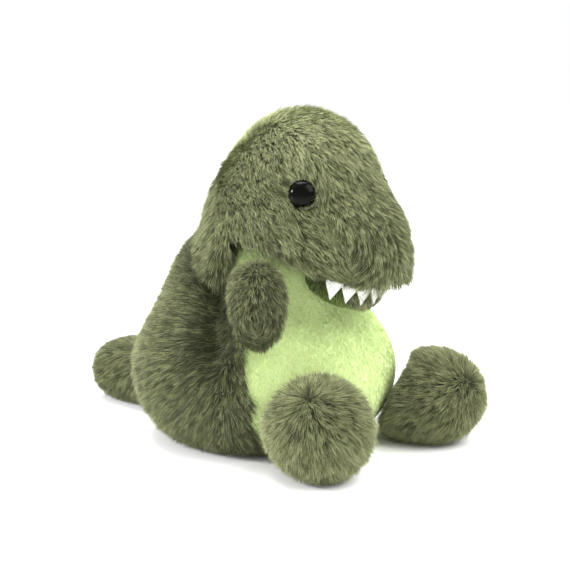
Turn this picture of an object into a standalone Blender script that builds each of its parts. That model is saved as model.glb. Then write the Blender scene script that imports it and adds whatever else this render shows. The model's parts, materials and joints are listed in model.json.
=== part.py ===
"""Palm-size sitting plush dinosaur, filled with fibre and beans.

Frame: metres, +Z up, the toy sits on z = 0 and looks along -Y, its right side is -X.
The origin is the middle of the seat panel. Sizes below are in millimetres and become
metres where the meshes are made. A piece that moves has its origin on its joint's axis.

Every sewn form (torso, head, jaw, arm, leg, tail) is a soft blend of a few ellipsoid
lobes. Its fabric covers are the outside of the form, cut into panels at the seams, and
its filling is the same form, inset by the fabric's thickness and a small gap.
"""
import math

import bmesh
import bpy
import numpy as np
from mathutils import Matrix, Vector

MM = 0.001

# Driving dimensions, millimetres and degrees
COVER = 2.0                 # fabric backing with its pile lying flat
GAP = 0.3                   # space kept between neighbouring pieces
SEAM = 0.2                  # half of the gap at a seam
FILL = COVER + 0.8          # depth of the filling below the outside of the fabric
SEAT_RADIUS = 30.0          # flat round panel that the toy sits on
BEAN_LEVEL = 26.0           # top of the bean pouch
POUCH_WALL = 0.8
POUCH_SLOT = 6.0            # radius of the pouch's filling slot
POUCH_SLOT_BACK = 12.0      # from the middle of the seat back to the slot
BELLY_SEAM = (0.0, -25.0, 20.0)
BELLY_SEAM_LEAN = 20.3      # the belly seam leans back by this angle
NECK = (0.0, -4.0, 70.0)    # pivot of the head on the neck
HEAD_TIP = 12.0             # the head tips back this far
LIP_FRONT = (0.0, -55.0, 58.6)
LIP_SLOPE = 17.7            # the mouth line falls towards the nose by this angle
GUSSET_HALF = 16.5          # half width of the strip over the nose and crown
EYE_AIM = (-22.0, -36.0, 91.7)
EYE_RADIUS = 4.8
EYE_HEIGHT = 3.3
EYE_STEM = 1.5              # radius of the shank behind the eye
WASHER_RADIUS = 5.2
WASHER_DEPTH = 3.0          # from the fabric's face to the locking washer
WASHER_THICK = 1.2
EYE_SHANK = 7.2             # from the fabric's face to the shank's tip
TOOTH_COUNT = 7
TOOTH_PITCH = 19.0          # angle between teeth, seen from above
TOOTH_HEIGHT = 5.6
TOOTH_BAND = 1.2
TOOTH_INSET = 4.4           # from the lip's outer edge to the felt strip
TOOTH_CENTRE = 21.0         # the strip curves round a point this far behind the lip
FELT = 0.9
JAW_HINGE = (0.0, -24.0, 64.0)
JAW_CLOSE = 5.0             # the jaw can be pressed shut by this angle
JAW_DROP = 1.2              # from the mouth plane to the jaw, at the hinge
JAW_GAPE = 6.0              # the jaw's top opens away from the mouth plane by this angle
LINING = 1.2
SHOULDER = (-28.0, -19.0, 62.0)
ARM_TURN = 48.0             # the right arm hangs this far round from the front
ARM_SET_BACK = 42.0         # the left arm is set this much further round the body
ARM_LIFT = 10.0            # the arm meets the cheek further up
HIP = (-24.5, -41.0, 16.0)
LEG_TURN = 30.0             # the leg points this far out from the front
LEG_LIFT = 20.0
TAIL_ROOT = (-1.0, 47.0, 14.0)
TAIL_SWING = 15.0
LIMB_ROOM = 0.6             # from a limb's root to the torso, at both ends of its swing
HEAD_ROOM = 0.8
FAR = 160.0                 # further than any form reaches from its middle
RAY_STEPS = 36              # halvings that find a form's surface along a ray
ROUND = 32                  # sides of a round cutter or panel

# Each form: the point its rays start from, how softly its lobes blend, its mesh size,
# and its lobes as centre, radii, pitch about X, turn about Z
TORSO = dict(
    centre=(0, 2, 36), blend=5.5, segments=28, rings=16, lobes=[
        ((0, 0.5, 24), (49, 49, 34.5), 0, 0),
        ((0, 10, 52), (30, 25, 25), 0, 0),
        ((0, -4, 62), (27, 25, 24), 0, 0),
    ])
HEAD = dict(
    centre=(0, -17, 84), blend=5.0, segments=26, rings=15, lobes=[
        ((0, -17, 92), (24, 27.5, 25), 0, 0),
        ((0, -16, 78), (28.5, 35, 14), 18, 0),
        ((0, -38, 72), (19.5, 22, 16), 12, 0),
    ])
JAW = dict(
    centre=(0, -33, 55), blend=3.0, segments=18, rings=10, lobes=[
        ((0, -33, 57), (13, 15, 9.5), 14, 0),
    ])
ARM = dict(
    centre=(-36, -30, 55), blend=3.0, segments=14, rings=10, lobes=[
        ((-36.5, -30.5, 55), (10.5, 8.4, 16.2), -22, -ARM_TURN),
        ((-30, -21, 60), (8, 7.5, 8), 0, -ARM_TURN),
    ])
LEG = dict(
    centre=(-30, -51, 16.5), blend=4.0, segments=16, rings=10, lobes=[
        ((-31, -54, 16.8), (17, 17.5, 17), 0, -LEG_TURN),
        ((-25, -42, 15), (13, 12, 13.5), 0, -LEG_TURN),
    ])
TAIL = dict(
    centre=(-4, 64, 12), blend=5.0, segments=16, rings=10, lobes=[
        ((-6.5, 79, 11.6), (10.5, 11, 11.2), 0, 0),
        ((-3, 57, 13), (14.5, 22, 14.5), 0, 0),
    ])

FUR_DARK = (0.105, 0.118, 0.058, 1)
FUR_MID = (0.160, 0.178, 0.092, 1)
BELLY_GREEN = (0.560, 0.720, 0.300, 1)
FELT_WHITE = (0.800, 0.800, 0.760, 1)
EYE_BLACK = (0.006, 0.006, 0.006, 1)
LINING_DARK = (0.060, 0.055, 0.045, 1)
FILL_WHITE = (0.860, 0.860, 0.830, 1)
POUCH_WHITE = (0.720, 0.700, 0.640, 1)
BEAN_CLEAR = (0.700, 0.720, 0.720, 1)
WASHER_WHITE = (0.620, 0.620, 0.600, 1)


# ---------------------------------------------------------------- scene
def empty_scene():
    for obj in list(bpy.data.objects):
        bpy.data.objects.remove(obj, do_unlink=True)


def new_collection(name):
    collection = bpy.data.collections.new(name)
    bpy.context.scene.collection.children.link(collection)
    return collection


def add_object(name, bm, collection):
    bmesh.ops.recalc_face_normals(bm, faces=bm.faces)
    if bm.calc_volume(signed=True) < 0:
        bmesh.ops.reverse_faces(bm, faces=bm.faces)
    mesh = bpy.data.meshes.new(name)
    bm.to_mesh(mesh)
    bm.free()
    obj = bpy.data.objects.new(name, mesh)
    collection.objects.link(obj)
    return obj


def material(name, colour, roughness):
    found = bpy.data.materials.get(name)
    if found:
        return found
    made = bpy.data.materials.new(name)
    made.use_nodes = True
    shader = made.node_tree.nodes["Principled BSDF"]
    shader.inputs["Base Color"].default_value = colour
    shader.inputs["Roughness"].default_value = roughness
    shader.inputs["Metallic"].default_value = 0.0
    return made


# ---------------------------------------------------------------- soft forms
def turn_matrix(pitch, turn):
    return Matrix.Rotation(math.radians(turn), 3, "Z") @ Matrix.Rotation(math.radians(pitch), 3, "X")


def soft_distance(points, form):
    """Signed distance in millimetres, roughly: negative inside the blended lobes."""
    total = 0.0
    for centre, radii, pitch, turn in form["lobes"]:
        local = (points - np.array(centre)) @ np.array(turn_matrix(pitch, turn))
        reach = np.linalg.norm(local / np.array(radii), axis=1)
        slope = np.linalg.norm(local / np.array(radii) ** 2, axis=1)
        total = total + np.exp(-reach * (reach - 1.0) / np.maximum(slope, 1e-9) / form["blend"])
    return -form["blend"] * np.log(total)


def surface_points(form, origin, directions, inset):
    """Where rays from a point inside the form meet its surface, moved in by inset."""
    near = np.zeros(len(directions))
    far = np.full(len(directions), FAR)
    for _ in range(RAY_STEPS):
        middle = (near + far) / 2
        inside = soft_distance(origin + directions * middle[:, None], form) < -inset
        near = np.where(inside, middle, near)
        far = np.where(inside, far, middle)
    return origin + directions * near[:, None]


def surface_normal(form, point):
    step = 0.05
    offsets = np.vstack([np.eye(3), -np.eye(3)]) * step
    values = soft_distance(np.array(point) + offsets, form)
    return Vector(values[:3] - values[3:]).normalized()


def form_mesh(form, inset):
    """A sphere whose points are pushed out to the form, and kept off the ground."""
    bm = bmesh.new()
    bmesh.ops.create_uvsphere(
        bm, u_segments=form["segments"], v_segments=form["rings"], radius=1.0)
    directions = np.array([vert.co.normalized() for vert in bm.verts])
    placed = surface_points(form, np.array(form["centre"], float), directions, inset)
    for vert, place in zip(bm.verts, placed):
        vert.co = Vector(place) * MM
        vert.co.z = max(vert.co.z, inset * MM)
    return bm


def mirrored(form):
    """The same form on the toy's left side."""
    centre = form["centre"]
    lobes = [((-c[0], c[1], c[2]), radii, pitch, -turn) for c, radii, pitch, turn in form["lobes"]]
    return {**form, "centre": (-centre[0], centre[1], centre[2]), "lobes": lobes}


def on_side(point, side):
    """A point given for the toy's right, on that side (-1 right, 1 left)."""
    return (point[0] * -side, point[1], point[2])


def set_round(point, angle):
    """A point moved round the upright line through the neck, backward on the left side."""
    turn = Matrix.Rotation(math.radians(angle), 3, "Z")
    axis = Vector((NECK[0], NECK[1], 0))
    return tuple(axis + turn @ (Vector(point) - axis))


def left_arm_form():
    """The right arm's form on the left side, set further back round the body."""
    form = mirrored(ARM)
    lobes = [(set_round(c, ARM_SET_BACK), radii, pitch, turn + ARM_SET_BACK)
             for c, radii, pitch, turn in form["lobes"]]
    return {**form, "centre": set_round(form["centre"], ARM_SET_BACK), "lobes": lobes}


def shoulder(side):
    """Pivot of an arm, and how far its arm hangs round from the front."""
    if side < 0:
        return SHOULDER, ARM_TURN
    return set_round(on_side(SHOULDER, side), ARM_SET_BACK), ARM_TURN + ARM_SET_BACK


def keep_side(bm, point, normal):
    """Cuts a closed mesh by a plane, keeps the side the normal points to, closes the cut."""
    geometry = bm.verts[:] + bm.edges[:] + bm.faces[:]
    bmesh.ops.bisect_plane(
        bm, geom=geometry, plane_co=Vector(point) * MM, plane_no=Vector(normal),
        clear_inner=True, dist=1e-7)
    rim = [edge for edge in bm.edges if edge.is_boundary]
    bmesh.ops.holes_fill(bm, edges=rim, sides=0)


def set_origin(obj, pivot):
    """Moves a piece's origin to a point and leaves its shape where it is."""
    place = Vector(pivot) * MM
    obj.data.transform(Matrix.Translation(-place))
    obj.location = place


def apply_modifiers(obj):
    graph = bpy.context.evaluated_depsgraph_get()
    shaped = bpy.data.meshes.new_from_object(obj.evaluated_get(graph))
    obj.modifiers.clear()
    obj.data = shaped


def trim(obj, cutters):
    """Cuts each cutter away in turn, so that every cut starts from a finished mesh.

    The forms graze each other at the seams, where the EXACT solver fails now and then.
    """
    for cutter in cutters:
        modifier = obj.modifiers.new(cutter.name, "BOOLEAN")
        modifier.operation = "DIFFERENCE"
        modifier.solver = "MANIFOLD"
        modifier.object = cutter
        apply_modifiers(obj)


# ---------------------------------------------------------------- workshop
SIDES = ((-1, "right"), (1, "left"))


class Workshop:
    """Holds the two collections, the cutters and the finish of each piece."""

    def __init__(self):
        self.parts = new_collection("plush_dinosaur")
        self.cutters = new_collection("cutters")

    def piece(self, name, bm, look):
        obj = add_object(name, bm, self.parts)
        obj.data.materials.append(material(*look))
        return obj

    def cutter(self, name, bm):
        obj = add_object(name, bm, self.cutters)
        obj.hide_render = True
        obj.display_type = "WIRE"
        return obj

    def form_cutter(self, name, form, inset, pivot=None, axis=None, angle=0.0):
        """The form as a cutter, turned about a pivot to where a moving piece meets it."""
        bm = form_mesh(form, inset)
        if pivot:
            place = Vector(pivot) * MM
            turn = Matrix.Rotation(math.radians(angle), 4, Vector(axis))
            bm.transform(Matrix.Translation(place) @ turn @ Matrix.Translation(-place))
        return self.cutter(name, bm)

    def rod_cutter(self, name, point, direction, radius, start, end):
        """A round cutter along a direction, from start to end millimetres past a point."""
        bm = bmesh.new()
        bmesh.ops.create_cone(
            bm, cap_ends=True, segments=ROUND, radius1=radius * MM, radius2=radius * MM,
            depth=(end - start) * MM)
        facing = Vector(direction).to_track_quat("Z", "Y").to_matrix().to_4x4()
        middle = Vector(point) + Vector(direction).normalized() * (start + end) / 2
        bm.transform(Matrix.Translation(middle * MM) @ facing)
        return self.cutter(name, bm)


LOOKS = {
    "fur": ("fur_olive", FUR_DARK, 0.9),
    "fur_light": ("fur_olive_head", FUR_MID, 0.9),
    "belly": ("belly_plush", BELLY_GREEN, 0.9),
    "felt": ("felt_white", FELT_WHITE, 0.95),
    "eye": ("eye_black", EYE_BLACK, 0.08),
    "lining": ("mouth_lining", LINING_DARK, 0.9),
    "fill": ("polyester_fill", FILL_WHITE, 0.95),
    "pouch": ("pouch_cloth", POUCH_WHITE, 0.9),
    "beans": ("bean_pellets", BEAN_CLEAR, 0.5),
    "washer": ("washer_plastic", WASHER_WHITE, 0.4),
}

# Up into the head from the mouth plane, back along that plane, and back from the belly seam
MOUTH_UP = Vector((0, -math.sin(math.radians(LIP_SLOPE)), math.cos(math.radians(LIP_SLOPE))))
MOUTH_BACK = Vector((0, MOUTH_UP.z, -MOUTH_UP.y))
BELLY_BACK = Vector((
    0, math.cos(math.radians(BELLY_SEAM_LEAN)), -math.sin(math.radians(BELLY_SEAM_LEAN))))


def heading(angle, side):
    """Level direction, angle degrees round from the front to one side (-1 right, 1 left)."""
    return Vector((side * math.sin(math.radians(angle)), -math.cos(math.radians(angle)), 0))


def above_mouth(offset):
    """A point on the mouth plane, raised into the head by offset."""
    return Vector(LIP_FRONT) + MOUTH_UP * offset


# ---------------------------------------------------------------- torso
def make_torso(shop):
    inner = shop.form_cutter("torso_inside", TORSO, COVER)
    seat_hole = shop.rod_cutter(
        "seat_hole", (0, 0, 0), (0, 0, 1), SEAT_RADIUS + GAP, -COVER, 2 * COVER)
    for side, tag in SIDES:
        bm = form_mesh(TORSO, 0)
        keep_side(bm, (side * SEAM, 0, 0), (side, 0, 0))
        keep_side(bm, Vector(BELLY_SEAM) + BELLY_BACK * SEAM, BELLY_BACK)
        cover = shop.piece(f"body_side_{tag}", bm, LOOKS["fur"])
        trim(cover, [inner, seat_hole])

    bm = form_mesh(TORSO, 0)
    keep_side(bm, Vector(BELLY_SEAM) - BELLY_BACK * SEAM, -BELLY_BACK)
    trim(shop.piece("belly_panel", bm, LOOKS["belly"]), [inner])

    bm = bmesh.new()
    bmesh.ops.create_cone(
        bm, cap_ends=True, segments=ROUND, radius1=SEAT_RADIUS * MM, radius2=SEAT_RADIUS * MM,
        depth=(COVER - GAP) * MM)
    bm.transform(Matrix.Translation((0, 0, (COVER - GAP) / 2 * MM)))
    shop.piece("seat_panel", bm, LOOKS["fur"])

    bm = form_mesh(TORSO, FILL)
    keep_side(bm, (0, 0, BEAN_LEVEL + GAP), (0, 0, 1))
    shop.piece("body_fill", bm, LOOKS["fill"])

    bm = form_mesh(TORSO, FILL)
    keep_side(bm, (0, 0, BEAN_LEVEL), (0, 0, -1))
    pouch = shop.piece("bean_pouch", bm, LOOKS["pouch"])
    bm = form_mesh(TORSO, FILL + POUCH_WALL)
    keep_side(bm, (0, 0, BEAN_LEVEL - POUCH_WALL), (0, 0, -1))
    slot = shop.rod_cutter(
        "pouch_filling_slot", (0, POUCH_SLOT_BACK, BEAN_LEVEL), (0, 0, 1), POUCH_SLOT,
        -2 * POUCH_WALL, POUCH_WALL)
    trim(pouch, [shop.cutter("pouch_inside", bm), slot])

    bm = form_mesh(TORSO, FILL + POUCH_WALL + GAP)
    keep_side(bm, (0, 0, BEAN_LEVEL - POUCH_WALL - GAP), (0, 0, -1))
    shop.piece("beans", bm, LOOKS["beans"])


# ---------------------------------------------------------------- head
def neck_cutters(shop):
    """The neck and shoulders, as the head meets them level and tipped back."""
    return [
        shop.form_cutter("neck_level", TORSO, -HEAD_ROOM),
        shop.form_cutter("neck_tipped", TORSO, -HEAD_ROOM, NECK, (1, 0, 0), HEAD_TIP),
    ]


def eye_seat(side):
    """Point and outward direction of an eye on the head's fabric."""
    start = np.array(HEAD["centre"], float)
    aim = np.array(on_side(EYE_AIM, side), float) - start
    aim = aim / np.linalg.norm(aim)
    point = surface_points(HEAD, start, aim[None, :], 0)[0]
    return Vector(point), surface_normal(HEAD, point)


def make_head(shop, necks):
    inner = shop.form_cutter("head_inside", HEAD, COVER)
    pockets = []
    for side, tag in SIDES:
        point, out = eye_seat(side)
        hole = shop.rod_cutter(
            f"eye_hole_{tag}", point, out, EYE_STEM + GAP, -2 * COVER, COVER)
        pockets.append(shop.rod_cutter(
            f"eye_pocket_{tag}", point, out, WASHER_RADIUS + GAP, -3 * WASHER_DEPTH, COVER))
        bm = form_mesh(HEAD, 0)
        keep_side(bm, above_mouth(0), MOUTH_UP)
        keep_side(bm, (side * (GUSSET_HALF + SEAM), 0, 0), (side, 0, 0))
        cover = shop.piece(f"head_side_{tag}", bm, LOOKS["fur_light"])
        trim(cover, [inner, hole, *necks])

    bm = form_mesh(HEAD, 0)
    keep_side(bm, above_mouth(0), MOUTH_UP)
    for side, _ in SIDES:
        keep_side(bm, (side * (GUSSET_HALF - SEAM), 0, 0), (-side, 0, 0))
    gusset = shop.piece("head_gusset", bm, LOOKS["fur_light"])
    trim(gusset, [inner, *necks])

    bm = form_mesh(HEAD, FILL)
    keep_side(bm, above_mouth(0), MOUTH_UP)
    keep_side(bm, above_mouth(COVER), -MOUTH_UP)
    roof = shop.piece("mouth_roof", bm, LOOKS["lining"])
    trim(roof, necks)

    bm = form_mesh(HEAD, FILL)
    keep_side(bm, above_mouth(COVER + GAP), MOUTH_UP)
    fill = shop.piece("head_fill", bm, LOOKS["fill"])
    trim(fill, [*necks, *pockets])


def turned(shop, name, outline, point, out, look):
    """A round piece: an outline of (radius, height) turned about the outward direction."""
    bm = bmesh.new()
    verts = [bm.verts.new((radius * MM, 0, height * MM)) for radius, height in outline]
    for first, second in zip(verts, verts[1:]):
        bm.edges.new((first, second))
    if outline[0][0] > 0:
        bm.edges.new((verts[-1], verts[0]))
    bmesh.ops.spin(
        bm, geom=bm.verts[:] + bm.edges[:], cent=(0, 0, 0), axis=(0, 0, 1),
        angle=math.tau, steps=18, use_merge=True)
    bmesh.ops.remove_doubles(bm, verts=bm.verts, dist=1e-6)
    facing = out.to_track_quat("Z", "Y").to_matrix().to_4x4()
    bm.transform(Matrix.Translation(point * MM) @ facing)
    return shop.piece(name, bm, look)


def make_eyes(shop):
    """Safety eyes: a dome on a shank through the fabric, held by a washer behind it."""
    dome = [(EYE_RADIUS * math.sin(angle), GAP + EYE_HEIGHT * math.cos(angle))
            for angle in np.linspace(0, math.pi / 2, 6)]
    tip = -EYE_SHANK
    shank = [(EYE_STEM, GAP), (EYE_STEM, tip + EYE_STEM / 2), (EYE_STEM / 2, tip), (0.0, tip)]
    top, bottom = -WASHER_DEPTH, -WASHER_DEPTH - WASHER_THICK
    bore = EYE_STEM + GAP
    washer = [(bore, top), (WASHER_RADIUS, top), (WASHER_RADIUS, bottom), (bore, bottom)]
    for side, tag in SIDES:
        point, out = eye_seat(side)
        turned(shop, f"eye_{tag}", dome + shank, point, out, LOOKS["eye"])
        turned(shop, f"eye_washer_{tag}", washer, point, out, LOOKS["washer"])


def make_teeth(shop):
    """One felt strip with pointed teeth that hangs from the lip around the front."""
    middle = Vector(LIP_FRONT) + MOUTH_BACK * TOOTH_CENTRE
    columns = 2 * TOOTH_COUNT
    bm = bmesh.new()
    bmesh.ops.create_grid(bm, x_segments=columns, y_segments=1, size=1.0)
    for vert in bm.verts:
        column = round((vert.co.x + 1) / 2 * columns)
        angle = math.radians((column - TOOTH_COUNT) * TOOTH_PITCH / 2)
        ray = Vector((math.sin(angle), 0, 0)) - MOUTH_BACK * math.cos(angle)
        edge = surface_points(HEAD, np.array(middle), np.array(ray)[None, :], 0)[0]
        drop = GAP
        if vert.co.y < 0:
            drop += TOOTH_BAND + TOOTH_HEIGHT * (column % 2)
        vert.co = (Vector(edge) - ray * TOOTH_INSET - MOUTH_UP * drop) * MM
    strip = shop.piece("teeth_strip", bm, LOOKS["felt"])
    thick = strip.modifiers.new("felt", "SOLIDIFY")
    thick.thickness = FELT * MM
    thick.offset = 0.0
    apply_modifiers(strip)


# ---------------------------------------------------------------- jaw
def make_jaw(shop):
    """A wedge between the mouth roof and the belly, with a flat lined top."""
    room = -(HEAD_ROOM + GAP)
    bellies = [
        shop.form_cutter("belly_open", TORSO, room),
        shop.form_cutter("belly_shut", TORSO, room, JAW_HINGE, (1, 0, 0), JAW_CLOSE),
        shop.form_cutter("belly_tipped", TORSO, room, NECK, (1, 0, 0), HEAD_TIP),
    ]
    slope = math.radians(LIP_SLOPE + JAW_GAPE)
    up = Vector((0, -math.sin(slope), math.cos(slope)))
    reach = (JAW_HINGE[1] - LIP_FRONT[1]) / MOUTH_BACK.y
    top = Vector(LIP_FRONT) + MOUTH_BACK * reach - MOUTH_UP * JAW_DROP

    bm = form_mesh(JAW, 0)
    keep_side(bm, top, -up)
    cover = shop.piece("jaw_cover", bm, LOOKS["fur_light"])
    trim(cover, [shop.form_cutter("jaw_inside", JAW, COVER)])

    bm = form_mesh(JAW, FILL)
    keep_side(bm, top, -up)
    keep_side(bm, top - up * LINING, up)
    lining = shop.piece("jaw_lining", bm, LOOKS["lining"])

    bm = form_mesh(JAW, FILL)
    keep_side(bm, top - up * (LINING + GAP), -up)
    fill = shop.piece("jaw_fill", bm, LOOKS["fill"])
    for obj in (cover, lining, fill):
        trim(obj, bellies)


# ---------------------------------------------------------------- limbs
def make_limb(shop, name, form, halves, facing, tools):
    """Two fabric halves sewn along one plane, and their filling, trimmed along the torso."""
    inner = shop.form_cutter(f"{name}_inside", form, COVER)
    for half, sign in zip(halves, (1, -1)):
        bm = form_mesh(form, 0)
        away = facing * sign
        keep_side(bm, Vector(form["centre"]) + away * SEAM, away)
        cover = shop.piece(f"{name}_{half}", bm, LOOKS["fur"])
        trim(cover, [inner, *tools])
    fill = shop.piece(f"{name}_fill", form_mesh(form, FILL), LOOKS["fill"])
    trim(fill, tools)


def torso_around(shop, name, pivot, axis, angles):
    """The torso as a limb sees it at each angle of its swing."""
    return [
        shop.form_cutter(f"{name}_{index}", TORSO, -LIMB_ROOM, pivot, axis, -angle)
        for index, angle in enumerate(angles)
    ]


def make_limbs(shop):
    upward = Vector((0, 0, 1))
    for side, tag in SIDES:
        arm = ARM if side < 0 else left_arm_form()
        pivot, turn = shoulder(side)
        out = heading(turn, side)
        tools = torso_around(
            shop, f"arm_{tag}_room", pivot, out.cross(upward), (0, ARM_LIFT))
        make_limb(shop, f"arm_{tag}", arm, ("outer", "inner"), out, tools)

        leg = LEG if side < 0 else mirrored(LEG)
        out = heading(LEG_TURN, side)
        tools = torso_around(
            shop, f"leg_{tag}_room", on_side(HIP, side), out.cross(upward), (0, LEG_LIFT))
        make_limb(shop, f"leg_{tag}", leg, ("outer", "inner"), heading(LEG_TURN + 90, side), tools)

    tools = torso_around(
        shop, "tail_room", TAIL_ROOT, upward, (0, -TAIL_SWING, TAIL_SWING))
    make_limb(shop, "tail", TAIL, ("right", "left"), Vector((-1, 0, 0)), tools)


def hang_on_joints(shop):
    """Every moving piece takes its origin from the axis of its joint."""
    pivots = {"jaw_": JAW_HINGE, "tail_": TAIL_ROOT}
    for start in ("head_", "mouth_", "teeth_", "eye_"):
        pivots[start] = NECK
    for side, tag in SIDES:
        pivots[f"arm_{tag}_"] = shoulder(side)[0]
        pivots[f"leg_{tag}_"] = on_side(HIP, side)
    for obj in shop.parts.objects:
        for start, pivot in pivots.items():
            if obj.name.startswith(start):
                set_origin(obj, pivot)


def main():
    empty_scene()
    shop = Workshop()
    make_torso(shop)
    make_head(shop, neck_cutters(shop))
    make_eyes(shop)
    make_teeth(shop)
    make_jaw(shop)
    make_limbs(shop)
    hang_on_joints(shop)


main()
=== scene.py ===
"""Looks of the palm-size plush dinosaur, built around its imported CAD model.

Each stuffed body gets one smooth skin, found by casting rays at the CAD covers. The skin is
the fabric's backing, and thousands of fine pointed fibres grow from it as real geometry.
Lengths are in millimetres and become metres where the meshes are made.
"""
import json
import math

import bmesh
import bpy
import numpy as np
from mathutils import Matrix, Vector
from mathutils.bvhtree import BVHTree


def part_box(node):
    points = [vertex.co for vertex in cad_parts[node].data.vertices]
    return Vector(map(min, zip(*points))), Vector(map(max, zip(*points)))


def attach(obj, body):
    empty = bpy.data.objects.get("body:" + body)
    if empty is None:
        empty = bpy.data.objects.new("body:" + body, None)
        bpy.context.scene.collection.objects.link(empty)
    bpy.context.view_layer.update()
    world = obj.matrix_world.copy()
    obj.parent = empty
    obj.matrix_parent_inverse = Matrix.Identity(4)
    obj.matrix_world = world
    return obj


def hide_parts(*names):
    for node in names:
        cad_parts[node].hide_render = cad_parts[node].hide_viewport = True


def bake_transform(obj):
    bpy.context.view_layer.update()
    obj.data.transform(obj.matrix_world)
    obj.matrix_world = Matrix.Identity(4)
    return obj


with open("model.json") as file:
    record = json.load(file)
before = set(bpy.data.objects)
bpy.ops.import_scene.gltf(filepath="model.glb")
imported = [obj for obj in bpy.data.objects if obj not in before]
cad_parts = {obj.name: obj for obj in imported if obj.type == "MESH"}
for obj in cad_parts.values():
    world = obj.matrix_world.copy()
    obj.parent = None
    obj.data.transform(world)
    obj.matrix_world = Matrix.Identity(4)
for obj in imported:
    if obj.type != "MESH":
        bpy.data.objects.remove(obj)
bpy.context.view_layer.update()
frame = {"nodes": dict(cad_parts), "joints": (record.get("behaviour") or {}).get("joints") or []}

MM = 0.001
FAR = 250.0                    # a ray starts this far out, beyond every form
SIDES = ((-1, "right"), (1, "left"))

# Pile of each fabric
BACKING_DEPTH = 2.2            # from the outside of the CAD cover to the fabric's backing
LIMB_EXTRA = 0.6               # a limb's backing lies this much deeper
JAW_DEPTH = 1.6                # the same depth for the jaw, which is thinner
BACKING_FLOOR = 0.6            # no backing comes nearer to the ground than this
FIBRE_FLOOR = 0.25             # and no fibre nearer than this
FIBRE_WIDTH = 0.17
BLADE_WIDTHS = (1.0, 0.9)      # shares of a fibre's width at its root and half way to its point
UNTIDY = 11.0                  # degrees by which a fibre strays from its neighbours
SKIN_SHADING = 0.45            # how far a fibre takes its shading from the form it grows on
UV_NAME = "OFBake"             # fibres share one small map: across is shade, up is root to tip

# Seams and places on the toy's right side, mirrored for its left
# The belly's seam, as heights and the y at each
BELLY_EDGE = ((0, -22), (23, -27), (40, -21.6), (58, -6.2), (74, -9), (95, -9))
FAR_SEAM_BACK = 9.0            # the left seam runs this much further back
THROAT_TOP = 77.0
NECK_STRETCH = 240             # rounds that stretch the skin over the hollow behind the head
NECK_TUCK = 3.2                # how far the neck's lower edge turns in to the crease
TORSO_CENTRE = (0, 2, 36)
HEAD_CENTRE = (0, -17, 84)
JAW_CENTRE = (0, -37, 56)
NAPE_TURN = 1.3                # radians behind the crown's top over which the nap turns about
EYE_CLEAR = 4.9                # no fibre grows this near to an eye's middle
ROOF_HEIGHT = 2.8              # the mouth's roof ends this far above the mouth plane
ROOF_BACK = -18.0
GUSSET_SEAM = ((-13, 2, 107), (-14, -18, 104), (-20.5, -36, 91.7), (-18, -45, 80),
               (-14, -51, 71), (-14.5, -50.6, 60.8))
CHEEK_DENT = (-14.0, -51.5, 68.0)
# the lower snout is darkened around this place with painted shade
NOSE_PAINTED_SHADE = (-8.0, -56.0, 72.0)
SWELLINGS = (((-11.0, -53.0, 60.0), 9.0, 3.4), ((-10.0, -50.0, 88.0), 12.0, 1.6),
             ((0.0, -14.0, 112.0), 20.0, 1.2))       # place, width, height
EYE_SOCKET = (-22.5, -36.0, 91.7)
NECK_CREASE = (17.0, 77.0)     # y and height where the crease passes the nape
NECK_CREASE_RISE = 0.81        # the crease climbs this much for each millimetre back
ARM_CREASE = (-34.0, -22.0, 40.0)
# The fold under the neck and behind the arm, pressed in as a groove and darkened along its length
# with painted shade
FOLD = ((-18, 17, 75), (-31, -6, 57), (-38, -11, 47), (-40, -14, 38))
FOOT_WHORLS = {-1: (-0.62, -0.27, 0.74), 1: (0.08, -0.92, 0.39)}
WHORL_REACH = 15.0             # a whorl's distance from the middle of its limb
ARM_WHORL = (-0.62, -0.62, -0.45)
EYE_RADIUS = 4.8
EYE_RISE = 3.6                 # how high its dome stands over its widest ring
EYE_SUNK = 1.4                 # the dome sits this much deeper in the fur than its CAD solid
MOUTH_FRONT = (0.0, -55.0, 58.6)
MOUTH_SLOPE = math.radians(17.7)
HIP_SWELL = 2.4                # the leg is this much fuller where it meets the body
HIP_REACH = 15.0
JAW_WIDEN = 0.3                # the jaw's back is wider by this share than its CAD solid
JAW_FORWARD = 2.6
JAW_FRONT = -44.0              # the long pile grows in front of this y
JAW_MIDDLE = -38.0
JAW_STRETCH = 0.9              # behind its middle it reaches this share further, to the throat
JAW_FLATTEN = 0.8              # its depth, as a share of the CAD solid's
SEAT_RADIUS = 30.0

# The camera, as the toy is seen
CAMERA_TURN = -46.0
CAMERA_RISE = 16.0
CAMERA_FAR = 500.0
CAMERA_LENS = 85.3
CAMERA_AIM = (16.0, 144.0)     # right of and above the seat's middle, over the focal length
FOCAL = 1346.0


# ---------------------------------------------------------------- vectors
def unit(vectors):
    length = np.linalg.norm(vectors, axis=-1, keepdims=True)
    return vectors / np.maximum(length, 1e-9)


def fade(distance, width):
    """1 at no distance, and close to 0 from about twice the width."""
    return np.exp(-(distance / width) ** 2)


def ripple(points, size, seed):
    """Smooth noise between about -1 and 1, whose bumps are about size millimetres apart."""
    rng = np.random.default_rng(seed)
    total = np.zeros(len(points))
    for _ in range(9):
        wave = unit(rng.normal(size=3)) * math.tau / size * rng.uniform(0.7, 1.3)
        total += np.sin(points @ wave + rng.uniform(0, math.tau))
    return total / 4.5


def distance_to_path(points, path):
    """Distance from each point to a line of straight runs."""
    nearest = np.full(len(points), FAR)
    path = np.array(path, float)
    for start, end in zip(path, path[1:]):
        run = end - start
        share = np.clip((points - start) @ run / (run @ run), 0, 1)
        gap = np.linalg.norm(points - start - share[:, None] * run, axis=1)
        nearest = np.minimum(nearest, gap)
    return nearest


def on_right(points):
    """The same places mirrored onto the toy's right side, which is at -x."""
    return np.stack([-np.abs(points[:, 0]), points[:, 1], points[:, 2]], axis=1)


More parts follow.
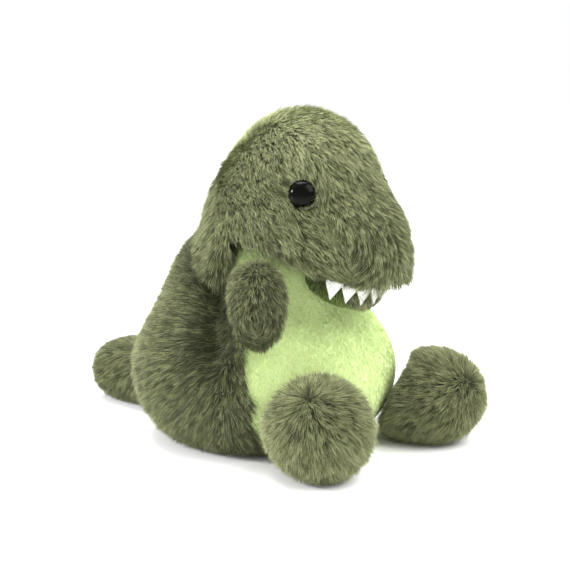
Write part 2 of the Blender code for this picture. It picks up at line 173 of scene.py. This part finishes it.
def in_gusset(points):
    """True between the two seams that run from the nape over the eyes to the mouth."""
    seam = np.array(GUSSET_SEAM, float)
    front = seam[1:]
    half = np.interp(points[:, 2], front[::-1, 2], -front[::-1, 0])
    half = np.where(points[:, 1] > seam[1, 1], -seam[0, 0], half)
    return np.abs(points[:, 0]) < half


def above_mouth(points):
    """Height above the mouth plane, which falls towards the nose."""
    up = np.array((0, -math.sin(MOUTH_SLOPE), math.cos(MOUTH_SLOPE)))
    return (points - np.array(MOUTH_FRONT)) @ up


def above_crease(points):
    """Height above the crease where the neck meets the back and shoulders."""
    y, z = NECK_CREASE
    rise = (points[:, 2] - z) - NECK_CREASE_RISE * (points[:, 1] - y)
    return rise / math.hypot(1, NECK_CREASE_RISE)


def neck_share(points):
    """0 on the head proper to 1 on the neck, behind the cheeks."""
    return np.clip((points[:, 1] + 16) / 10, 0, 1)


def belly_seam(points):
    """The y at which the seam between the belly and the body's sides runs at each height."""
    heights, edge = np.array(BELLY_EDGE, float).T
    return np.interp(points[:, 2], heights, edge) + FAR_SEAM_BACK * (points[:, 0] > 0)


def in_belly(points):
    """True in front of that seam."""
    return points[:, 1] < belly_seam(points) + 0.5 * ripple(points, 2.0, 5)


def above_throat(points, lower=0.0):
    """True for the head and neck, which end at the crease behind and at the throat in front."""
    throat = in_belly(points) & (points[:, 2] < THROAT_TOP - lower)
    return (above_crease(points) > 1.0 - lower) & ~(throat & (points[:, 1] > -20))


# ---------------------------------------------------------------- skins
class Skin:
    """A smooth closed skin around some CAD nodes, as seen from a point inside them."""

    def __init__(self, nodes, centre, fineness, smoothing, neck=()):
        bm = bmesh.new()
        bmesh.ops.create_icosphere(bm, subdivisions=fineness, radius=1.0)
        rays = unit(np.array([vert.co for vert in bm.verts]))
        self.faces = np.array([[vert.index for vert in face.verts] for face in bm.faces])
        edges = np.array([[vert.index for vert in edge.verts] for edge in bm.edges])
        bm.free()
        centre = np.array(centre, float)
        count = np.bincount(edges.ravel(), minlength=len(rays))

        def soften(reach):
            total = np.bincount(edges[:, 0], reach[edges[:, 1]], len(rays))
            total += np.bincount(edges[:, 1], reach[edges[:, 0]], len(rays))
            return 0.5 * reach + 0.5 * total / count
        reach = self.cast(nodes, centre, rays)
        if neck:
            form = self.cast([*nodes, *neck], centre, rays)
            wide = form
            for _ in range(NECK_STRETCH):
                wide = np.maximum(soften(wide), form)
            share = neck_share(centre + rays * wide[:, None])
            reach = reach * (1 - share) + wide * share
        for _ in range(smoothing):
            reach = soften(reach)
        self.points = centre + rays * reach[:, None]
        self.find_normals()

    @staticmethod
    def cast(nodes, centre, rays):
        """How far from the centre each ray, coming in from outside, meets the nodes."""
        verts, faces = [], []
        for name in nodes:
            mesh = frame["nodes"][name].data
            start = len(verts)
            verts += [vert.co / MM for vert in mesh.vertices]
            faces += [[start + index for index in face.vertices] for face in mesh.polygons]
        tree = BVHTree.FromPolygons(verts, faces)
        reach = np.full(len(rays), np.nan)
        for index, ray in enumerate(rays):
            hit = tree.ray_cast(Vector(centre + ray * FAR), Vector(-ray), FAR)[0]
            if hit is not None:
                reach[index] = (hit - Vector(centre)).length
        return np.where(np.isnan(reach), np.nanmedian(reach), reach)

    def find_normals(self):
        corners = self.points[self.faces]
        flat = np.cross(corners[:, 1] - corners[:, 0], corners[:, 2] - corners[:, 0])
        normals = np.zeros_like(self.points)
        for column in range(3):
            np.add.at(normals, self.faces[:, column], flat)
        self.normals = unit(normals)
        self.areas = np.linalg.norm(flat, axis=1) / 2

    def press(self, depth):
        """Moves the skin in along its normals, by one depth or one for each point."""
        self.points = self.points - self.normals * np.reshape(depth, (-1, 1))
        self.points[:, 2] = np.maximum(self.points[:, 2], BACKING_FLOOR)
        self.find_normals()

    def dent(self, place, width, depth):
        """A soft hollow at a place on both sides of the toy, or a swelling below zero."""
        near = np.linalg.norm(on_right(self.points) - np.array(place), axis=1)
        self.press(depth * fade(near, width))

    def groove(self, path, width, depth):
        """A soft valley along a seam on both sides of the toy."""
        near = distance_to_path(on_right(self.points), path)
        self.press(depth * fade(near, width))

    def part(self, keep):
        """Points and faces of the region where keep is true for a face's middle."""
        chosen = self.faces[keep(self.points[self.faces].mean(axis=1))]
        used, index = np.unique(chosen, return_inverse=True)
        return self.points[used], index.reshape(chosen.shape)


def add_object(name, data):
    obj = bpy.data.objects.new(name, data)
    bpy.context.scene.collection.objects.link(obj)
    return obj


def new_object(name, points, faces, look):
    mesh = bpy.data.meshes.new(name)
    mesh.from_pydata([Vector(point) * MM for point in points], [], faces.tolist())
    mesh.shade_smooth()
    mesh.materials.append(look)
    return add_object(name, mesh)


# ---------------------------------------------------------------- fibres
class Pile:
    """How a fabric's fibres stand.

    The density is in fibres per square millimetre, lengths are in millimetres, and the leans at
    root and tip are in degrees from upright. Shade runs from 0, the darkest, to 1.
    """

    def __init__(self, density, length, lean_root, lean_tip, shade, spread=0.22, streak=0.3,
                 width=FIBRE_WIDTH, tuft=0.9, gather=0.3, wave=14.0, shading=SKIN_SHADING):
        self.density = density
        self.length = length
        self.lean = (lean_root, lean_tip)
        self.shade = shade
        self.spread = spread
        self.streak = streak
        self.width = width
        self.tuft = tuft
        self.gather = gather
        self.wave = wave
        self.shading = shading


def scatter(skin, keep, density, rng):
    """Random places on the skin where keep is true, with their normals."""
    count = int(skin.areas.sum() * density)
    picked = rng.choice(len(skin.areas), count, p=skin.areas / skin.areas.sum())
    first, second = rng.random((2, count))
    over = first + second > 1
    first[over], second[over] = 1 - first[over], 1 - second[over]
    shares = np.stack([1 - first - second, first, second], axis=1)[:, :, None]
    corners = skin.faces[picked]
    roots = (skin.points[corners] * shares).sum(axis=1)
    normals = unit((skin.normals[corners] * shares).sum(axis=1))
    kept = keep(roots)
    return roots[kept], normals[kept]


def turned_about(vectors, axes, angles):
    cosine, sine = np.cos(angles)[:, None], np.sin(angles)[:, None]
    along = (vectors * axes).sum(axis=1, keepdims=True) * axes
    return vectors * cosine + np.cross(axes, vectors) * sine + along * (1 - cosine)


def tufts(roots, size, rng):
    """A number for each fibre that says which tuft it belongs to."""
    cells = np.floor((roots + rng.uniform(-0.25, 0.25, roots.shape) * size) / size).astype(int)
    return np.unique(cells, axis=0, return_inverse=True)[1].ravel()


def grow(name, skin, keep, flow, pile, look, seed):
    """Fibres of one fabric panel, each a narrow blade that tapers to a point."""
    rng = np.random.default_rng(seed)
    roots, normals = scatter(skin, keep, pile.density, rng)
    count = len(roots)
    lie = flow(roots, normals)
    lie = unit(lie - (lie * normals).sum(axis=1, keepdims=True) * normals)
    swing = pile.wave * (ripple(roots, 9.0, seed + 1) + 0.7 * ripple(roots, 3.5, seed + 2))
    swing += rng.normal(0, UNTIDY, count)
    lie = turned_about(lie, normals, np.radians(swing))
    length = pile.length(roots) if callable(pile.length) else np.full(count, pile.length)
    length = length * rng.uniform(0.72, 1.15, count) * (1 + 0.07 * ripple(roots, 6.0, seed + 3))
    lift = rng.normal(0, UNTIDY, count) + 4 * ripple(roots, 5.0, seed + 4)

    line = [roots]
    steps = len(BLADE_WIDTHS)
    for step in range(steps):
        share = step / (steps - 1)
        angle = np.radians(pile.lean[0] * (1 - share) + pile.lean[1] * share + lift)[:, None]
        way = normals * np.cos(angle) + lie * np.sin(angle)
        line.append(line[-1] + way * (length / steps)[:, None])
    group = tufts(roots, pile.tuft, rng)
    members = np.bincount(group)
    middle = np.stack([np.bincount(group, line[-1][:, k]) / members for k in range(3)], axis=1)
    pull = (middle[group] - line[-1]) * pile.gather
    for step in range(1, steps + 1):
        line[step] = line[step] + pull * (step / steps) ** 2
    run = unit(line[-1] - roots)
    across = turned_about(unit(np.cross(run, normals)), run, rng.uniform(-0.7, 0.7, count))
    facing = np.cross(across, run)
    facing *= np.sign((facing * normals).sum(axis=1, keepdims=True))
    facing = unit(pile.shading * normals + (1 - pile.shading) * facing)

    shade = pile.shade(roots, normals) if callable(pile.shade) else np.full(count, pile.shade)
    shade = shade + rng.normal(0, pile.spread, count) + 0.05 * ripple(roots, 4.0, seed + 5)
    shade += rng.normal(0, pile.streak, len(members))[group]
    shade = np.clip(shade, 0.01, 0.99)
    return blade_mesh(name, line, across, facing, shade, pile, look)


def blade_mesh(name, line, across, facing, shade, pile, look):
    """One mesh of all the blades, with their shade and height in the fibres' small map."""
    count, levels = len(shade), len(BLADE_WIDTHS)
    widths = pile.width * np.array(BLADE_WIDTHS)
    per = 2 * levels + 1
    points = np.empty((count, per, 3))
    maps = np.empty((count, per, 2))
    for level in range(levels):
        for side, sign in enumerate((-0.5, 0.5)):
            points[:, 2 * level + side] = line[level] + across * (sign * widths[level])
            maps[:, 2 * level + side, 0] = shade + sign * 0.004
            maps[:, 2 * level + side, 1] = level / levels
    points[:, -1] = line[-1]
    maps[:, -1, 0] = shade
    maps[:, -1, 1] = 1.0
    points[:, :, 2] = np.maximum(points[:, :, 2], FIBRE_FLOOR)

    quads = [[2 * k, 2 * k + 1, 2 * k + 3, 2 * k + 2] for k in range(levels - 1)]
    corners = sum(quads, []) + [2 * levels - 2, 2 * levels - 1, 2 * levels]
    sizes = [4] * len(quads) + [3]
    base = np.arange(count)[:, None] * per
    loops = (base + np.array(corners)).ravel()
    totals = np.tile(sizes, count)
    starts = np.concatenate([[0], np.cumsum(totals)[:-1]])

    mesh = bpy.data.meshes.new(name)
    mesh.vertices.add(count * per)
    mesh.vertices.foreach_set("co", (points * MM).astype(np.float32).ravel())
    mesh.loops.add(len(loops))
    mesh.loops.foreach_set("vertex_index", loops.astype(np.int32))
    mesh.polygons.add(len(totals))
    mesh.polygons.foreach_set("loop_start", starts.astype(np.int32))
    mesh.update(calc_edges=True)
    mesh.shade_smooth()
    mesh.normals_split_custom_set_from_vertices(np.repeat(facing, per, axis=0))
    layer = mesh.uv_layers.new(name=UV_NAME)
    layer.uv.foreach_set("vector", maps.reshape(-1, 2)[loops].astype(np.float32).ravel())
    mesh.materials.append(look)
    return add_object(name, mesh)


# ---------------------------------------------------------------- materials
def linear(colour):
    """A colour given as 0 to 255 display values, as linear light."""
    share = np.array(colour, float) / 255
    value = np.where(share <= 0.04045, share / 12.92, ((share + 0.055) / 1.055) ** 2.4)
    return (*value, 1.0)


def new_material(name, roughness, sheen=0.0, specular=0.3):
    made = bpy.data.materials.new(name)
    made.use_nodes = True
    shader = made.node_tree.nodes["Principled BSDF"]
    shader.inputs["Roughness"].default_value = roughness
    shader.inputs["Sheen Weight"].default_value = sheen
    shader.inputs["Sheen Roughness"].default_value = 0.5
    shader.inputs["Specular IOR Level"].default_value = specular
    return made, made.node_tree.nodes, made.node_tree.links, shader


def ramp(nodes, stops):
    node = nodes.new("ShaderNodeValToRGB")
    elements = node.color_ramp.elements
    while len(elements) < len(stops):
        elements.new(0.5)
    for element, (place, colour) in zip(elements, stops):
        element.position = place
        element.color = linear(colour)
    return node


def fibre_material(name, dark, light, sheen=0.45):
    """Root to tip colours of the darkest and the lightest fibres, mixed by each one's shade.
    Every ramp darkens to the root and lightens to the tip, as painted shade deep in the pile and
    painted light on the tips.
    """
    made, nodes, links, shader = new_material(name, 0.75, sheen, 0.12)
    shader.inputs["Sheen Tint"].default_value = linear((216, 223, 170))
    place = nodes.new("ShaderNodeUVMap")
    place.uv_map = UV_NAME
    split = nodes.new("ShaderNodeSeparateXYZ")
    links.new(place.outputs["UV"], split.inputs[0])
    mix = nodes.new("ShaderNodeMix")
    mix.data_type = "RGBA"
    links.new(split.outputs["X"], mix.inputs["Factor"])
    for colours, socket in ((dark, "A"), (light, "B")):
        stops = ramp(nodes, list(zip((0.0, 0.45, 0.8, 1.0), colours)))
        links.new(split.outputs["Y"], stops.inputs["Fac"])
        target = [s for s in mix.inputs if s.name == socket and s.type == "RGBA"][0]
        links.new(stops.outputs["Color"], target)
    out = [s for s in mix.outputs if s.type == "RGBA"][0]
    links.new(out, shader.inputs["Base Color"])
    return made


def cloth_material(name, low, high, scale, bump, roughness=0.9, sheen=0.2, specular=0.2):
    """A plain fabric or plastic whose colour and surface vary a little."""
    made, nodes, links, shader = new_material(name, roughness, sheen, specular)
    place = nodes.new("ShaderNodeTexCoord")
    noise = nodes.new("ShaderNodeTexNoise")
    noise.inputs["Scale"].default_value = scale
    noise.inputs["Detail"].default_value = 5.0
    links.new(place.outputs["Object"], noise.inputs["Vector"])
    stops = ramp(nodes, [(0.35, low), (0.65, high)])
    links.new(noise.outputs["Fac"], stops.inputs["Fac"])
    links.new(stops.outputs["Color"], shader.inputs["Base Color"])
    if bump:
        raised = nodes.new("ShaderNodeBump")
        raised.inputs["Strength"].default_value = bump
        raised.inputs["Distance"].default_value = 0.0002
        links.new(noise.outputs["Fac"], raised.inputs["Height"])
        links.new(raised.outputs["Normal"], shader.inputs["Normal"])
    return made


LOOKS = {
    # The body's fur is a darker copy of the head's, as painted shade on the body's sides, which
    # the lamps light less; the limbs, tail and seat wear it too
    "body": fibre_material(
        "fur_body_painted_shade",
        ((15, 16, 9), (32, 34, 20), (46, 49, 30), (60, 63, 42)),
        ((34, 36, 22), (84, 88, 57), (140, 145, 102), (200, 205, 160))),
    "head": fibre_material(
        "fur_head",
        ((18, 20, 11), (42, 45, 27), (60, 64, 41), (78, 82, 55)),
        ((44, 47, 29), (108, 113, 76), (172, 178, 128), (226, 232, 186))),
    "belly": fibre_material(
        "nap_belly",
        ((190, 213, 138), (206, 225, 154), (212, 229, 163), (218, 233, 171)),
        ((196, 217, 146), (216, 232, 168), (224, 237, 180), (230, 241, 190)), sheen=0.0),
    # The belly's light green nap, darkened with painted shade for the jaw's underside beneath the
    # head
    "throat": fibre_material(
        "nap_belly_painted_shade",
        ((58, 70, 34), (84, 100, 50), (98, 116, 60), (110, 128, 70)),
        ((84, 100, 50), (112, 130, 70), (134, 152, 86), (156, 172, 104)), sheen=0.0),
    "backing": cloth_material("backing_olive", (44, 47, 28), (58, 62, 38), 900, 0.3),
    "backing_belly": cloth_material("backing_belly", (204, 227, 150), (212, 233, 160), 1400, 0.2),
    "felt": cloth_material("felt_white", (206, 208, 200), (232, 233, 228), 2200, 0.5),
    "eye": cloth_material("eye_black", (5, 5, 4), (10, 10, 9), 300, 0, 0.03, 0.0, 0.06),
    "pouch": cloth_material("pouch_cloth", (196, 192, 180), (222, 218, 206), 2600, 0.4),
    "beans": cloth_material("bean_pellets", (186, 190, 190), (220, 224, 224), 500, 0.5, 0.5, 0.0),
    "washer": cloth_material(
        "washer_plastic", (196, 196, 190), (208, 208, 202), 700, 0.1, 0.4, 0.0),
}


# ---------------------------------------------------------------- stage
def make_stage():
    world = bpy.data.worlds.new("white_room")
    bpy.context.scene.world = world
    world.use_nodes = True
    world.node_tree.nodes["Background"].inputs["Color"].default_value = (1, 1, 1, 1)
    world.node_tree.nodes["Background"].inputs["Strength"].default_value = 1.0
    bpy.ops.mesh.primitive_plane_add(size=12, location=(0, 0, 0))
    floor = bpy.context.object
    floor.name = "floor"
    made, _, _, shader = new_material("floor_pale", 1.0, specular=0.0)
    shader.inputs["Base Color"].default_value = (1, 1, 1, 1)
    floor.data.materials.append(made)
    bpy.context.scene.view_settings.view_transform = "Standard"
    lights = (("key_light", (0.25, -0.8, 0.95), 0.9, 15.0),
              ("spark_light", (-0.43, 0.4, 0.3), 0.12, 3.5),
              ("rim_light", (0.15, 0.3, 1.0), 0.7, 18.0))
    for name, place, size, power in lights:
        light = bpy.data.lights.new(name, "AREA")
        light.size = size
        light.energy = power
        lamp = add_object(name, light)
        lamp.location = place
        lamp.rotation_mode = "QUATERNION"
        sight = Vector((0, 0, 0.05)) - Vector(place)
        lamp.rotation_quaternion = sight.to_track_quat("-Z", "Y")


def make_camera():
    turn, rise = math.radians(CAMERA_TURN), math.radians(CAMERA_RISE)
    level = math.cos(rise)
    back = Vector((math.sin(turn) * level, -math.cos(turn) * level, math.sin(rise)))
    right = Vector((math.cos(turn), math.sin(turn), 0))
    up = back.cross(right)
    camera = bpy.data.cameras.new("camera")
    camera.lens = CAMERA_LENS
    camera.clip_start = 0.01
    obj = add_object("camera", camera)
    obj.location = back * CAMERA_FAR * MM
    sight = -back * FOCAL + right * CAMERA_AIM[0] + up * CAMERA_AIM[1]
    obj.rotation_mode = "QUATERNION"
    obj.rotation_quaternion = sight.to_track_quat("-Z", "Y")
    bpy.context.scene.camera = obj


# ---------------------------------------------------------------- how the pile lies
def flow_head(points, normals):
    """The nap runs forward to the mouth, and turns about on the crown to run down the nape."""
    across = np.array((1.0, 0.0, 0.0))
    round_head = np.arctan2(points[:, 1] - HEAD_CENTRE[1], points[:, 2] - HEAD_CENTRE[2])
    turn = math.pi * np.clip(round_head / NAPE_TURN, 0, 1)[:, None]
    gusset = np.cross(across, normals) * np.cos(turn) + across * np.sin(turn)
    dent = np.where(points[:, :1] < 0, 1, -1) * np.array((1.0, 0, 0)) * CHEEK_DENT[0]
    dent = dent + np.array((0.0, *CHEEK_DENT[1:]))
    front = np.clip((-40 - points[:, 1:2]) / 12, 0, 1)
    gusset = unit(gusset + 0.45 * front * unit(dent - points))
    side = unit(np.array((0, -0.72, -0.62)) + 0.35 * unit(dent - points))
    neck = np.clip((24 - above_crease(points)) / 14, 0, 1)[:, None]
    side = unit(side * (1 - neck) + np.array((0, 0.1, -1.0)) * neck)
    return np.where(in_gusset(points)[:, None], gusset, side)


def flow_body(points, normals):
    """Sides brushed back and down from the crease behind the arm, the neck straight down."""
    mirror = np.where(points[:, :1] > 0, 1.0, -1.0)
    crease = np.array(ARM_CREASE) * np.array((-1, 1, 1))
    away = unit(points - crease * np.hstack([mirror, np.ones((len(points), 2))]))
    body = unit(0.9 * away + np.array((0, 0.35, -0.55)))
    neck = np.clip((points[:, 2:3] - 56) / 10, 0, 1) * np.clip((6 - points[:, 1:2]) / 10, 0, 1)
    body = unit(body * (1 - neck) + np.array((0, -0.15, -1.0)) * neck)
    near = fade(points[:, 1] - belly_seam(points), 6.0)[:, None]
    return unit(body * (1 - near) + np.array((0, -0.7, -0.7)) * near)


def flow_arm(centre, whorl):
    """Fibres lie down along the arm and turn in to the whorl near its tip."""
    spot = centre + unit(np.array(whorl, float)) * WHORL_REACH

    def flow(points, normals):
        away = spot - points
        near = fade(np.linalg.norm(away, axis=1, keepdims=True), 9.0)
        return unit(np.array((0, -0.15, -1.0)) * (1 - near) + unit(away) * near)
    return flow


def flow_whorl(whorl, pull):
    """Fibres that leave (pull -1) or run to (pull 1) one spot on a round form."""
    def about(centre):
        spot = centre + unit(np.array(whorl, float)) * WHORL_REACH
        return lambda points, normals: unit(spot - points) * pull
    return about


def flow_tail(points, normals):
    return unit(np.array((0, 0.55, -0.55)) + 0 * points)


def flow_down(points, normals):
    return np.tile((0.0, -0.25, -1.0), (len(points), 1))


# ---------------------------------------------------------------- bodies
def everywhere(points):
    return np.ones(len(points), bool)


def side_of(points, side):
    return points[:, 0] * side > 0


def make_torso():
    """Olive fur on the sides and seat, and light green nap from the throat down the belly."""
    skin = Skin(["body_side_right", "body_side_left", "belly_panel", "seat_panel", "body_fill"],
                TORSO_CENTRE, fineness=6, smoothing=8)
    skin.press(BACKING_DEPTH)
    skin.groove(FOLD, width=4.5, depth=4.0)

    def seat(points):
        return (points[:, 2] < 3) & (np.hypot(points[:, 0], points[:, 1]) < SEAT_RADIUS)

    def fur(points):
        return ~in_belly(points) & ~seat(points)

    inner = skin.points - skin.normals * 0.5
    backing = new_object("body_backing", inner, skin.faces, LOOKS["backing"])
    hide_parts("body_fill")
    points, faces = skin.part(lambda middles: in_belly(middles - np.array((0, 3.0, 0))))
    belly = new_object("belly_backing", points, faces, LOOKS["backing_belly"])
    for piece, slot in ((backing, "fur_olive"), (belly, "belly_plush")):
        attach(piece, "torso")

    def shade(points, normals):
        low = np.clip((16 - points[:, 2]) / 16, 0, 1)
        # painted shade: the fur darkens along the fold under the neck and behind the arm
        painted_fold_shade = fade(distance_to_path(on_right(points), FOLD), 10.0)
        back = np.clip((points[:, 1] - 10) / 30, 0, 1)
        return 0.32 + 0.1 * low - 0.45 * painted_fold_shade + 0.1 * back
    pile = Pile(8.2, 5.6, 38, 70, shade)
    for side, tag in SIDES:
        piece = grow(f"body_fur_{tag}", skin, lambda p, s=side: fur(p) & side_of(p, s),
                     flow_body, pile, LOOKS["body"], 20 + side)
        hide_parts(f"body_side_{tag}")
        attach(piece, "torso")
    piece = grow("seat_fur", skin, seat, flow_tail, Pile(3.0, 4.5, 60, 86, 0.35),
                 LOOKS["body"], 25)
    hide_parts("seat_panel")
    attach(piece, "torso")
    nap = grow("belly_nap", skin, in_belly, flow_down,
               Pile(7.6, 1.2, 72, 84, 0.5, spread=0.1, streak=0.0, width=0.24, wave=8.0,
                    shading=0.0),
               LOOKS["belly"], 26)
    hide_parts("belly_panel")
    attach(nap, "torso")


def make_head():
    """Head and neck share one skin, which turns into the neck behind the cheeks."""
    nodes = ["head_side_right", "head_side_left", "head_gusset", "mouth_roof", "head_fill"]
    skin = Skin(nodes, HEAD_CENTRE, fineness=6, smoothing=6,
                neck=("body_side_right", "body_side_left", "belly_panel", "body_fill"))
    skin.press(BACKING_DEPTH)
    skin.press(NECK_TUCK * fade(above_crease(skin.points), 7.0))
    for place, width, height in SWELLINGS:
        skin.dent(place, width, -height)
    skin.groove(GUSSET_SEAM, width=3.0, depth=1.3)
    skin.dent(CHEEK_DENT, width=5.0, depth=1.6)
    skin.dent(EYE_SOCKET, width=6.0, depth=1.4)

    def roof(points):
        return (above_mouth(points) < ROOF_HEIGHT) & (points[:, 1] < ROOF_BACK)

    def fur(points):
        eyes = np.linalg.norm(on_right(points) - np.array(EYE_SOCKET), axis=1)
        return ~roof(points) & (eyes > EYE_CLEAR) & above_throat(points, 2.0)

    kept = above_throat(skin.points) | (skin.points[:, 1] < -20)
    inner = skin.points - skin.normals * np.where(kept, 0.3, 5.0)[:, None]
    backing = new_object("head_backing", inner, skin.faces, LOOKS["backing"])
    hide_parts("head_fill")
    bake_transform(backing)

    def shade(points, normals):
        # Painted light and shade: the crown is lighter, as lit from above, and the fur darkens
        # towards the neck's crease
        crown = np.clip((points[:, 2] - 94) / 18, 0, 1)
        seam = fade(distance_to_path(on_right(points), GUSSET_SEAM), 3.0)
        crease = fade(above_crease(points), 10.0)
        # painted shade on the lower snout
        nose = fade(np.linalg.norm(on_right(points) - np.array(NOSE_PAINTED_SHADE), axis=1), 12.0)
        return 0.42 + 0.5 * crown - 0.14 * seam - 0.22 * crease - 0.16 * nose

    def length(points):
        lip = fade(above_mouth(points) - 3, 3.5) * (points[:, 1] < -24)
        return 5.0 + 1.5 * lip
    pile = Pile(9.5, length, 36, 68, shade)
    panels = [("head_fur_gusset", "head_gusset", in_gusset)]
    for side, tag in SIDES:
        panels.append((f"head_fur_{tag}", f"head_side_{tag}",
                       lambda p, s=side: ~in_gusset(p) & side_of(p, s)))
    for index, (name, node, region) in enumerate(panels):
        piece = grow(name, skin, lambda p, r=region: fur(p) & r(p), flow_head, pile,
                     LOOKS["head"], 30 + 10 * index)
        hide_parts(node)
        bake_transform(piece)
    # The roof's fibres take a dark shade: painted shade inside the mouth
    nap = grow("mouth_roof_nap", skin, roof, flow_tail,
               Pile(6.0, 2.2, 30, 60, 0.2), LOOKS["head"], 65)
    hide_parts("mouth_roof")
    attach(nap, "head")


def make_jaw():
    """A flat wedge: long pile at its front, and behind that short nap in the belly's green,
    darkened with painted shade.
    """
    skin = Skin(["jaw_cover", "jaw_lining", "jaw_fill"], JAW_CENTRE, fineness=5, smoothing=5)
    skin.press(JAW_DEPTH)
    skin.points[:, 0] *= 1 + JAW_WIDEN * np.clip((skin.points[:, 1] + 48) / 20, 0, 1)
    top = skin.points[:, 2].max()
    skin.points[:, 2] = top - (top - skin.points[:, 2]) * JAW_FLATTEN
    back = np.clip(skin.points[:, 1] - JAW_MIDDLE, 0, None) * JAW_STRETCH
    skin.points[:, 1] += back - JAW_FORWARD
    skin.points[:, 2] += back * math.tan(MOUTH_SLOPE)
    skin.find_normals()

    def front(points):
        return points[:, 1] + 0.5 * ripple(points, 2.5, 7) < JAW_FRONT
    backing = new_object("jaw_backing", skin.points, skin.faces, LOOKS["backing"])
    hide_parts("jaw_fill", "jaw_lining")
    fur = grow("jaw_fur", skin, front, flow_down, Pile(10.0, 3.2, 34, 66, 0.35),
               LOOKS["head"], 70)
    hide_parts("jaw_cover")
    nap = grow("jaw_nap", skin, lambda p: ~front(p), flow_down,
               Pile(9.0, 1.6, 50, 80, 0.3, streak=0.1), LOOKS["throat"], 72)
    for piece, slot in ((backing, "belly_plush"), (fur, "fur_olive_head"), (nap, "belly_plush")):
        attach(piece, "jaw")


def make_limb(body, nodes, flow, pile, seed):
    """A stuffed limb: backing and fur, with a leg fuller where it joins the torso."""
    low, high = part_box(f"{body}_fill")
    centre = np.array(low + high) / 2 / MM
    joint = next(j for j in frame["joints"] if j["child"] == body)
    root, axis = np.array(joint["pos_m"]) / MM, np.array(joint["axis"])
    skin = Skin(nodes, centre, fineness=5, smoothing=4)
    skin.press(BACKING_DEPTH + LIMB_EXTRA)
    if body.startswith("leg"):
        skin.dent(on_right(root[None])[0], width=HIP_REACH, depth=-HIP_SWELL)
    backing = new_object(f"{body}_backing", skin.points, skin.faces, LOOKS["backing"])
    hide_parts(f"{body}_fill")
    fur = grow(f"{body}_fur", skin, everywhere, flow(centre), pile, LOOKS["body"], seed)
    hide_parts(*[name for name in nodes if not name.endswith("_fill")])
    for piece in (backing, fur):
        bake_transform(piece)


def make_limbs():
    halves = ("outer", "inner", "fill")
    for side, tag in SIDES:
        make_limb(f"leg_{tag}", [f"leg_{tag}_{half}" for half in halves],
                  flow_whorl(FOOT_WHORLS[side], -1), Pile(10.0, 5.0, 34, 64, 0.66), 80 + side)
        whorl = np.array(ARM_WHORL) * (-side, 1, 1)
        make_limb(f"arm_{tag}", [f"arm_{tag}_{half}" for half in halves],
                  lambda centre, w=whorl: flow_arm(centre, w), Pile(10.0, 4.4, 36, 66, 0.34),
                  90 + side)
    make_limb("tail", ["tail_right", "tail_left", "tail_fill"], lambda centre: flow_tail,
              Pile(8.5, 5.0, 36, 68, 0.32), 95)


def make_eyes():
    """Domes turned about the line from each washer's middle to its eye's middle."""
    for _, tag in SIDES:
        washer = np.array([v.co for v in frame["nodes"][f"eye_washer_{tag}"].data.vertices]) / MM
        eye = np.array([v.co for v in frame["nodes"][f"eye_{tag}"].data.vertices]) / MM
        inside = (washer.min(axis=0) + washer.max(axis=0)) / 2
        axis = unit(eye.mean(axis=0) - washer.mean(axis=0))
        top = ((eye - inside) @ axis).max() - EYE_SUNK
        bm = bmesh.new()
        bmesh.ops.create_uvsphere(bm, u_segments=64, v_segments=40, radius=EYE_RADIUS)
        facing = Vector(axis).to_track_quat("Z", "Y").to_matrix()
        base = Vector(inside + axis * (top - EYE_RISE))
        for vert in bm.verts:
            vert.co.z *= EYE_RISE / EYE_RADIUS if vert.co.z > 0 else 0.25
            vert.co = (base + facing @ vert.co) * MM
        mesh = bpy.data.meshes.new(f"eye_dome_{tag}")
        bm.to_mesh(mesh)
        bm.free()
        mesh.shade_smooth()
        mesh.materials.append(LOOKS["eye"])
        dome = add_object(f"eye_dome_{tag}", mesh)
        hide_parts(f"eye_{tag}")
        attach(dome, "head")


def dress_inner_nodes():
    looks = {"bean_pouch": "pouch", "beans": "beans", "teeth_strip": "felt",
             "eye_washer_right": "washer", "eye_washer_left": "washer"}
    for name, look in looks.items():
        mesh = frame["nodes"][name].data
        mesh.materials.clear()
        mesh.materials.append(LOOKS[look])


make_stage()
make_camera()
make_torso()
make_head()
make_jaw()
make_limbs()
make_eyes()
dress_inner_nodes()
